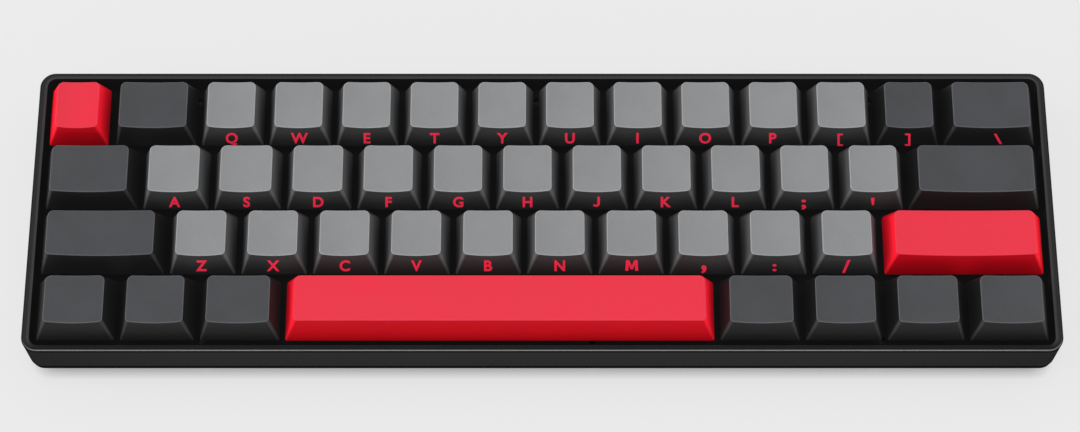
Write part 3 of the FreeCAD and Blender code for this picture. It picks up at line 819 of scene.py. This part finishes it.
def make_keys(mats):
    low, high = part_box("key_q")
    ceiling = high[2] - CAP_TOP_THICKNESS
    housing_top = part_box("switch_housings")[1][2]
    boss_foot = housing_top + BOSS_CLEARANCE
    boss = boss_mesh(boss_foot, ceiling + BOSS_SUNK, boss_foot + CROSS_HEIGHT)
    slider = stem_mesh(SLIDER_SIZE, low[2], housing_top)
    guide = stem_mesh(STEM_SIZE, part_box("key_enter")[0][2], housing_top)
    for name in KEY_NAMES:
        cap = Cap(name)
        stems = [cap.x] + [cap.x + side * STEM_OFFSETS[name] for side in (-1, 1) if name in STEM_OFFSETS]
        bosses = [moved(boss, x, cap.y) for x in stems]
        mesh = joined([cap_mesh(cap)] + bosses, f"keycap_{name}")
        smooth(mesh, CAP_SMOOTHING)
        body = BODY_OF[f"key_{name}"]
        finishes = [mats[f"{cap.finish}_skirt"], mats[f"{cap.finish}_top"]]
        piece = add_piece(f"keycap_{name}", mesh, body, finishes, [f"key_{name}"])
        weighted_normals(piece)
        sliders = [moved(slider, cap.x, cap.y)] + [moved(guide, x, cap.y) for x in stems[1:]]
        add_piece(f"slider_{name}", joined(sliders, f"slider_{name}"), body, [mats["slider"]], ())
        if name in LETTERS or name in MARKS:
            make_legend(cap, mats["legend"], body)


def character(sign):
    """Bold character of the built-in font."""
    letter = bpy.data.curves.new("letter", "FONT")
    letter.body = sign
    letter.offset = LEGEND_BOLDNESS
    letter.extrude = LEGEND_HALF_DEPTH
    letter.resolution_u = 6
    return flattened(in_scene("letter", letter))


def make_legend(cap, ink, body):
    """Printed character on the sloping front face."""
    sign, wide, tall, right, above = MARKS.get(cap.name, (cap.name.upper(), 0, 0, 0, 0))
    if sign in DRAWN_SIGNS:
        mesh = prism(DRAWN_SIGNS[sign], -LEGEND_HALF_DEPTH, LEGEND_HALF_DEPTH)
    else:
        mesh = character(sign)
    xs, ys, _ = zip(*[point.co for point in mesh.vertices])
    if wide:
        scale = (wide * MM / (max(xs) - min(xs)), tall * MM / (max(ys) - min(ys)))
        middle = (max(ys) + min(ys)) / 2
    else:
        size = LEGEND_HEIGHT / FONT_CAPITAL
        scale = (size * LEGEND_WIDTH_SCALE, size)
        middle = FONT_CAPITAL / 2
    mesh.transform(Matrix.Translation((-(max(xs) + min(xs)) / 2, -middle, 0)))
    mesh.transform(Matrix.Diagonal((*scale, LEGEND_STAND / LEGEND_HALF_DEPTH, 1)))
    across = Vector((1, 0, 0))
    slope = Vector((0, cap.front_taper, CAP_HEIGHT)).normalized()
    lean = Vector((-LEGEND_LEAN * cap.x / CAMERA_DISTANCE, 0, 0))
    place = Matrix((across, slope + lean, across.cross(slope))).transposed().to_4x4()
    foot = Vector((cap.x, cap.front, cap.bottom))
    place.translation = foot + across * right * MM + slope * (LEGEND_MIDDLES[cap.row] + above * MM)
    mesh.transform(place)
    outward(mesh)
    add_piece(f"legend_{cap.name}", mesh, body, [ink], ())


# Case

def swept(profile, half_x, half_y, wider=lambda inset, z: False):
    """Profile of (inset, height, weight at the front, weight elsewhere) carried round the case."""
    skin = Skin()
    rings = []
    for inset, z, front_edge, edge in profile:
        bend = max(LEAST_BEND, CASE_CORNER - inset)
        inner_x = half_x - inset - (RIM_SIDE_GROWTH if wider(inset, z) else 0)
        ring = rounded_ring(-inner_x, inner_x, -half_y + inset, half_y - inset, bend,
                            corner_steps=CASE_CORNER_STEPS)
        near = [min(1, max(0, (bend + inset - half_y - y) / bend)) ** 2 for x, y in ring]
        weights = [edge + (front_edge - edge) * share for share in near]
        rings.append(skin.ring([(x, y, z) for x, y in ring], weights))
    return skin, rings


def weighted(points, front=None, elsewhere=None):
    """Profile points with their weights, at the front of the case and elsewhere."""
    front = front or [0.0] * len(points)
    return [(*point, *pair) for point, *pair in zip(points, front, elsewhere or front)]


def softened(before, corner, after, reach):
    """Three points that round off a corner of a profile."""
    ends = [Vector(corner) + (Vector(side) - Vector(corner)).normalized() * reach for side in (before, after)]
    middle = (ends[0] + ends[1]) / 4 + Vector(corner) / 2
    return [tuple(ends[0]), tuple(middle), tuple(ends[1])]


def hollow_inset():
    """Distance from the outside of the case to the hollow that the circuit board lies in."""
    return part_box("case_frame")[1][1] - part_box("circuit_board")[1][1] - BOARD_GAP


def add_case_part(name, node, mesh, cutters, angle, mats):
    """Cuts a part of the case and puts it in the scene."""
    outward(mesh)
    mesh = boolean(mesh, cutters)
    smooth(mesh, angle)
    weighted_normals(add_piece(name, mesh, "case", [mats["case"]], [node]))


def make_case_frame(mats, window):
    low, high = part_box("case_frame")
    ledge_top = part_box("switch_plate")[0][2]
    seam, rim = low[2], high[2]
    inner, edge, soft = hollow_inset(), RIM_INNER_EDGE, RIM_SOFTENING
    low_bend = softened((0, seam), (0, rim - RIM_CHAMFER), (RIM_CHAMFER, rim), soft)
    high_bend = softened((0, rim - RIM_CHAMFER), (RIM_CHAMFER, rim), (WALL, rim), soft)
    inner_bend = arc_points(WALL - edge, rim - edge, edge, 90, 0, EDGE_STEPS)
    wall = [(LOWER_EDGE[0], seam), (0, seam + LOWER_EDGE[1]), (0, seam + SHADE_BAND_HEIGHT)]
    wall += [(0, rim - depth) for depth in WALL_STOPS]
    top = [(RIM_CHAMFER + inset, rim) for inset in RIM_STOPS]
    # Edge weights of the profile, at the front and elsewhere: painted shade by black paint along the foot of
    # the wall, painted shade by less sheen on the chamfer and the rim's top, a painted highlight by much
    # sheen along the front edge of the rim, and a faint painted highlight at its inner edge
    profile = weighted(wall, (PAINTED_SHADE, PAINTED_SHADE, 0.0, 0.0, DULL), (PAINTED_SHADE, PAINTED_SHADE, DIM, DIM, DIM))
    profile += weighted(low_bend, (2 * DULL, 2.5 * DULL, 2 * DULL), (DULL, DULL, DULL))
    profile += weighted(high_bend, (0.35, 2.4, 0.6), (1.6 * DIM, 1.4 * DIM, 1.2 * DIM))
    profile += weighted(top, (DULL, DULL, DULL), (DIM, DIM, 0.01))
    profile += weighted(inner_bend, (DULL, 0.05, 0.06, 0.0, 0.0), (0.03, 0.05, 0.03, 0.0, 0.0))
    profile += weighted([(WALL, ledge_top), (inner, ledge_top), (inner, seam)])
    skin, rings = swept(profile, high[0], high[1], lambda inset, z: inset > WALL / 2 and z > rim - MM)
    for first, second in zip(rings, rings[1:] + rings[:1]):
        skin.bridge(first, second)
    add_case_part("case_wall", "case_frame", skin.mesh("case_frame"), [window], BEND_SMOOTHING, mats)


def make_case_base(mats, window):
    low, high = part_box("case_base")
    underside, seam = low[2], high[2]
    floor, inner = underside + FLOOR_THICKNESS, hollow_inset()
    groove, gap = SEAM_GROOVE
    land = LOWER_EDGE[0] + BASE_STEP
    corners = [(land, seam - gap), (land, seam - BASE_LAND), (UNDERCUT, underside), (2 * UNDERCUT, underside)]
    outline = [(inner, floor), (inner, seam), (groove, seam), (groove, seam - gap), corners[0]]
    outline += softened(*corners[:3], BASE_SOFTENING) + softened(*corners[1:], BASE_SOFTENING)
    # Edge weights: painted shade by black paint in the seam groove, on the land and down to the start of the
    # undercut
    profile = weighted(outline, [0.0, 0.0] + [PAINTED_SHADE] * 6 + [0.0] * 3)
    skin, rings = swept(profile, high[0], high[1])
    skin.tube(rings)
    cutters = [window] + underside_recesses(underside)
    add_case_part("case_tray", "case_base", skin.mesh("case_base"), cutters, PART_SMOOTHING, mats)


def solids_of(node):
    """Boxes of the separate solids in a node's mesh, as (low, high) pairs."""
    work = bmesh.new()
    work.from_mesh(frame["nodes"][node].data)
    bmesh.ops.remove_doubles(work, verts=work.verts, dist=1e-6)
    left = set(work.verts)
    boxes = []
    while left:
        front = [left.pop()]
        places = []
        while front:
            vertex = front.pop()
            places.append(vertex.co)
            near = {edge.other_vert(vertex) for edge in vertex.link_edges} & left
            left -= near
            front += near
        spans = [(min(values), max(values)) for values in zip(*places)]
        boxes.append((Vector([low for low, _ in spans]), Vector([high for _, high in spans])))
    work.free()
    return sorted(boxes, key=lambda box: tuple(box[0]))


def middle_of(box):
    return (box[0] + box[1]) / 2


def underside_recesses(underside):
    """Cutters for the feet and for the heads of the screws."""
    cutters = []
    for low, high in solids_of("rubber_feet"):
        left, right, front, back = low.x - FOOT_FIT, high.x + FOOT_FIT, low.y - FOOT_FIT, high.y + FOOT_FIT
        ring = rounded_ring(left, right, front, back, FOOT_CORNER)
        cutters.append(prism(ring, underside - OVERSHOOT, underside + FOOT_RECESS))
    for box in solids_of("case_screws"):
        ring = circle(*middle_of(box).xy, SCREW_RECESS_DIAMETER)
        cutters.append(prism(ring, underside - OVERSHOOT, underside + SCREW_SEAT_DEPTH))
    return cutters


def standing_ring(wide, tall, radius, y):
    """Rounded rectangle that stands upright at a depth y, round the middle of the socket."""
    low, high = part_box("usb_socket")
    x, z = (low[0] + high[0]) / 2, (low[2] + high[2]) / 2
    ring = rounded_ring(x - wide / 2, x + wide / 2, z - tall / 2, z + tall / 2, radius)
    return [(px, y, pz) for px, pz in ring]


def window_cutter():
    """Rounded opening through the rear wall for the plug."""
    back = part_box("case_frame")[1][1]
    depths = (back - hollow_inset() - OVERSHOOT, back + 2 * OVERSHOOT)
    skin = Skin()
    skin.tube([skin.ring(standing_ring(*WINDOW, WINDOW_CORNER, y)) for y in depths])
    mesh = skin.mesh("window")
    outward(mesh)
    return mesh


def make_usb_socket(mats):
    """Steel shell with a tongue and its row of contacts."""
    low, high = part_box("usb_socket")
    x, z = (low[0] + high[0]) / 2, (low[2] + high[2]) / 2
    wide, tall = high[0] - low[0], high[2] - low[2]
    rear, mouth = low[1], high[1]
    shell, edge = SOCKET_SHELL, SOCKET_EDGE
    route = [(shell, rear + SOCKET_BACK), (shell, mouth - edge), (shell - edge, mouth), (edge, mouth),
             (0, mouth - edge), (0, rear + edge), (edge, rear)]
    bend = tall / 2 - SOCKET_FLAT
    skin = Skin()
    skin.tube([skin.ring(standing_ring(wide - 2 * shrink, tall - 2 * shrink, bend - shrink, y))
               for shrink, y in route])
    body = skin.mesh("usb_shell")
    outward(body)
    half_wide, half_thick = TONGUE_HALVES
    ends = (rear + TONGUE_SETBACKS[0], mouth - TONGUE_SETBACKS[1])
    ring = rounded_ring(x - half_wide, x + half_wide, *ends, TONGUE_CORNER)
    tongue = prism(ring, z - half_thick, z + half_thick)
    ends = [mouth - end for end in CONTACT_ENDS]
    contacts = []
    for face_z in (z - half_thick, z + half_thick):
        for index in range(CONTACT_COUNT):
            cx = x + (index - (CONTACT_COUNT - 1) / 2) * CONTACT_PITCH
            sides = (cx - CONTACT_HALF_WIDTH, cx + CONTACT_HALF_WIDTH)
            pad = rounded_ring(*sides, *ends, CONTACT_CORNER, corner_steps=2)
            contacts.append(prism(pad, face_z - CONTACT_STAND, face_z + CONTACT_STAND))
    mesh = joined([body, tongue] + contacts, "usb_socket", [0, 1] + [2] * len(contacts))
    smooth(mesh, PART_SMOOTHING)
    finishes = [mats["steel"], mats["tongue"], mats["gold"]]
    add_piece("usb_receptacle", mesh, "case", finishes, ["usb_socket"])


# Repeated pieces by geometry nodes

def repeated(name, places, build, values, materials, nodes):
    """Puts the shape that a node tree builds at every place on the case, as one plain mesh."""
    points = bpy.data.meshes.new(f"{name}_places")
    points.from_pydata(places, [], [])
    holder = in_scene(name, points)
    group = bpy.data.node_groups.new(f"{name}_tree", "GeometryNodeTree")
    add_socket = group.interface.new_socket
    add_socket("Places", in_out="INPUT", socket_type="NodeSocketGeometry")
    sockets = {label: add_socket(label, in_out="INPUT", socket_type="NodeSocketFloat") for label in values}
    add_socket("Geometry", in_out="OUTPUT", socket_type="NodeSocketGeometry")
    tree = Tree(group)
    start = group.nodes.new("NodeGroupInput")
    given = {socket.name: Sock(tree, socket) for socket in start.outputs if socket.name}
    shape = build(tree, given)
    spots = tree.node("GeometryNodeMeshToPoints", {"Mesh": given["Places"]})
    copies = tree.node("GeometryNodeInstanceOnPoints", {"Points": spots, "Instance": shape})
    solid = tree.node("GeometryNodeRealizeInstances", {"Geometry": copies})
    finished = tree.node("GeometryNodeSetMaterial", {"Geometry": solid, "Material": materials[0]})
    tree.node("NodeGroupOutput", {"Geometry": finished})
    modifier = holder.modifiers.new("repeat", "NODES")
    modifier.node_group = group
    for label, value in values.items():
        modifier[sockets[label].identifier] = value
    mesh = flattened(holder)
    mesh.name = name
    smooth(mesh, PART_SMOOTHING)
    add_piece(name, mesh, "case", materials, nodes)


def cylinder_part(tree, diameter, height, lift, sides=32):
    """Upright cylinder whose foot stands at a height."""
    sizes = {"Vertices": sides, "Radius": diameter * 0.5, "Depth": height}
    solid = tree.node("GeometryNodeMeshCylinder", sizes, fill_type="NGON")
    offset = tree.node("ShaderNodeCombineXYZ", {"Z": lift + height * 0.5})
    return tree.node("GeometryNodeTransform", {"Geometry": solid, "Translation": offset})


def screw_shape(tree, given):
    """Button-head screw, head down, with a six-sided drive."""
    height = given["Head Height"]
    head = cylinder_part(tree, given["Head Diameter"], height, 0.0)
    crown = cylinder_part(tree, given["Head Diameter"] * SCREW_CROWN[0], height, height * -SCREW_CROWN[1])
    shank = cylinder_part(tree, given["Shank Diameter"], given["Length"], height, 20)
    drive = cylinder_part(tree, given["Drive"], height, height * (SCREW_DRIVE_DEPTH - 1), 6)
    parts = {"Mesh 2": [head, crown, shank]}
    whole = tree.node("GeometryNodeMeshBoolean", parts, operation="UNION", solver="EXACT")
    parts = {"Mesh 1": whole, "Mesh 2": drive}
    return tree.node("GeometryNodeMeshBoolean", parts, operation="DIFFERENCE", solver="EXACT")


def make_screws(mats):
    boxes = solids_of("case_screws")
    places = [(*middle_of(box).xy, box[0].z) for box in boxes]
    diameter, height = SCREW_HEAD
    shank_length = boxes[0][1].z - boxes[0][0].z - height - SCREW_TIP_SETBACK
    values = {"Head Diameter": diameter, "Head Height": height, "Shank Diameter": SCREW_SHANK_DIAMETER,
              "Length": shank_length, "Drive": SCREW_DRIVE}
    repeated("hex_screws", places, screw_shape, values, [mats["black_screw"]], ["case_screws"])


def foot_shape(tree, given):
    """Long pad with round ends and a softly rounded sole."""
    sizes = {"Width": given["Length"], "Height": given["Width"]}
    outline = tree.node("GeometryNodeCurvePrimitiveQuadrilateral", sizes, mode="RECTANGLE")
    bends = {"Curve": outline, "Count": 8, "Radius": given["Corner"]}
    rounded = tree.node("GeometryNodeFilletCurve", bends, mode="POLY")
    face = tree.node("GeometryNodeFillCurve", {"Curve": rounded}, mode="NGONS")
    upward = {"Offset": tree.node("ShaderNodeCombineXYZ", {"Z": 1.0}), "Individual": False}
    upward.update({"Mesh": face, "Offset Scale": given["Height"] - given["Edge"]})
    wall = tree.node("GeometryNodeExtrudeMesh", upward, mode="FACES")
    upward.update({"Mesh": wall, "Offset Scale": given["Edge"], "Selection": wall.beside("Top")})
    crown = tree.node("GeometryNodeExtrudeMesh", upward, mode="FACES")
    top = {"Geometry": crown, "Selection": crown.beside("Top"), "Scale": FOOT_SOLE_SCALE}
    drawn_in = tree.node("GeometryNodeScaleElements", top, domain="FACE")
    back = tree.node("GeometryNodeFlipFaces", {"Mesh": face})
    closed = tree.node("GeometryNodeJoinGeometry", {"Geometry": [drawn_in, back]})
    merged = tree.node("GeometryNodeMergeByDistance", {"Geometry": closed, "Distance": 1e-6})
    return tree.node("GeometryNodeTransform", {"Geometry": merged, "Rotation": (math.pi, 0.0, 0.0)})


def make_feet(mats):
    boxes = solids_of("rubber_feet")
    places = [(*middle_of(box).xy, box[1].z) for box in boxes]
    length, width, height = boxes[0][1] - boxes[0][0]
    values = {"Length": length, "Width": width, "Height": height, "Corner": FOOT_CORNER, "Edge": FOOT_EDGE}
    repeated("foot_pads", places, foot_shape, values, [mats["rubber"]], ["rubber_feet"])


# Stabiliser wires

def make_wires(mats):
    """Round bent wires in place of the drawn ones: two arms and the rod that they turn with."""
    for name in STEM_OFFSETS:
        node = f"stabiliser_wire_{name}"
        low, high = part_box(node)
        toward = -1 if name == "space" else 1
        axis_y = (high if name == "space" else low)[1] + toward * WIRE_DIAMETER / 2
        axis_z = low[2] + WIRE_DIAMETER / 2
        tip = (axis_y + toward * WIRE_ARM[0], axis_z + WIRE_ARM[1])
        rods = [((x, *tip), (x, axis_y, axis_z)) for x in (low[0] + WIRE_TAIL, high[0] - WIRE_TAIL)]
        rods.append(((low[0], axis_y, axis_z), (high[0], axis_y, axis_z)))
        curve = bpy.data.curves.new(node, "CURVE")
        curve.dimensions = "3D"
        curve.bevel_depth = WIRE_DIAMETER / 2
        curve.bevel_resolution = 4
        curve.use_fill_caps = True
        for rod in rods:
            spline = curve.splines.new("POLY")
            spline.points.add(1)
            for point, place in zip(spline.points, rod):
                point.co = (*place, 1)
        mesh = flattened(in_scene("wire", curve))
        smooth(mesh, BEND_SMOOTHING)
        add_piece(f"bent_wire_{name}", mesh, BODY_OF[node], [mats["black_screw"]], [node])


# Carried-over pieces of the construction model

def dress_frame(mats):
    finishes = {"switch_plate": "plate", "circuit_board": "board", "switch_housings": "housing",
                "stabiliser_housings": "housing"}
    for node, finish in finishes.items():
        piece = frame["nodes"][node]
        for slot in piece.material_slots:
            slot.material = mats[finish]
        if not len(piece.material_slots):
            piece.data.materials.append(mats[finish])


# Stage, lights and camera

def make_floor():
    """Pale floor, whose own brightness towards the camera keeps the shadow short, as in the photograph."""
    def build(tree):
        pale = grey(BACKGROUND)
        tone = tree.mix(tree.noise(6.0, 2.0), shaded(pale, 0.995), shaded(pale, 1.005))
        lit = tree.surface({"Base Color": tone, "Roughness": 0.9, "Specular IOR Level": 0.0})
        openness = 1.0
        for reach, strength in CONTACT_SHADOWS:
            open_here = tree.node("ShaderNodeAmbientOcclusion", {"Distance": reach}, output=1, samples=8)
            openness = openness * open_here ** strength
        glow = tree.mix(openness, grey(0.0), tone)
        bright = tree.node("ShaderNodeEmission", {"Color": glow, "Strength": FLOOR_GLOW})
        camera_ray = tree.node("ShaderNodeLightPath")
        return tree.node("ShaderNodeMixShader", {0: camera_ray * (1 - SHADOW_SHARE), 1: lit, 2: bright})
    mesh = bpy.data.meshes.new("floor")
    corners = [(x * FLOOR_HALF_SIZE, y * FLOOR_HALF_SIZE, 0) for x, y in ((-1, -1), (1, -1), (1, 1), (-1, 1))]
    mesh.from_pydata(corners, [], [(0, 1, 2, 3)])
    mesh.materials.append(material("floor_pale", build))
    floor = in_scene("floor", mesh)


def aim(piece, place, target):
    """Puts a light or the camera at a place, facing a target."""
    piece.location = place
    piece.rotation_euler = (Vector(target) - Vector(place)).to_track_quat("-Z", "Y").to_euler()


def make_lights():
    for name, (place, target, size, power, mirrored) in LIGHTS.items():
        light = bpy.data.lights.new(name, "AREA")
        light.shape = "RECTANGLE"
        light.size, light.size_y = size
        light.energy = power
        holder = in_scene(name, light)
        holder.visible_glossy = mirrored
        aim(holder, place, target)
    world = bpy.data.worlds.new("studio")
    world.use_nodes = True
    tree = Tree(world.node_tree)
    strength = tree.remap(tree.node("ShaderNodeLightPath"), 0.0, 1.0, WORLD_LIGHT, BACKGROUND)
    light = tree.node("ShaderNodeBackground", {"Color": grey(1.0), "Strength": strength})
    tree.node("ShaderNodeOutputWorld", {"Surface": light})
    bpy.context.scene.world = world


def make_camera():
    target = Vector((*CAMERA_TARGET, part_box("key_q")[1][2] - CAP_HEIGHT))
    angle = math.radians(CAMERA_ELEVATION)
    data = bpy.data.cameras.new("camera")
    data.lens = CAMERA_LENS
    data.sensor_width = CAMERA_SENSOR
    camera = in_scene("camera", data)
    aim(camera, target + CAMERA_DISTANCE * Vector((0, -math.cos(angle), math.sin(angle))), target)
    bpy.context.scene.camera = camera


mats = make_materials()
window = window_cutter()
make_case_frame(mats, window.copy())
make_case_base(mats, window.copy())
make_keys(mats)
make_usb_socket(mats)
make_screws(mats)
make_feet(mats)
make_wires(mats)
dress_frame(mats)
make_floor()
make_lights()
make_camera()
bpy.context.scene.view_settings.view_transform = "Standard"
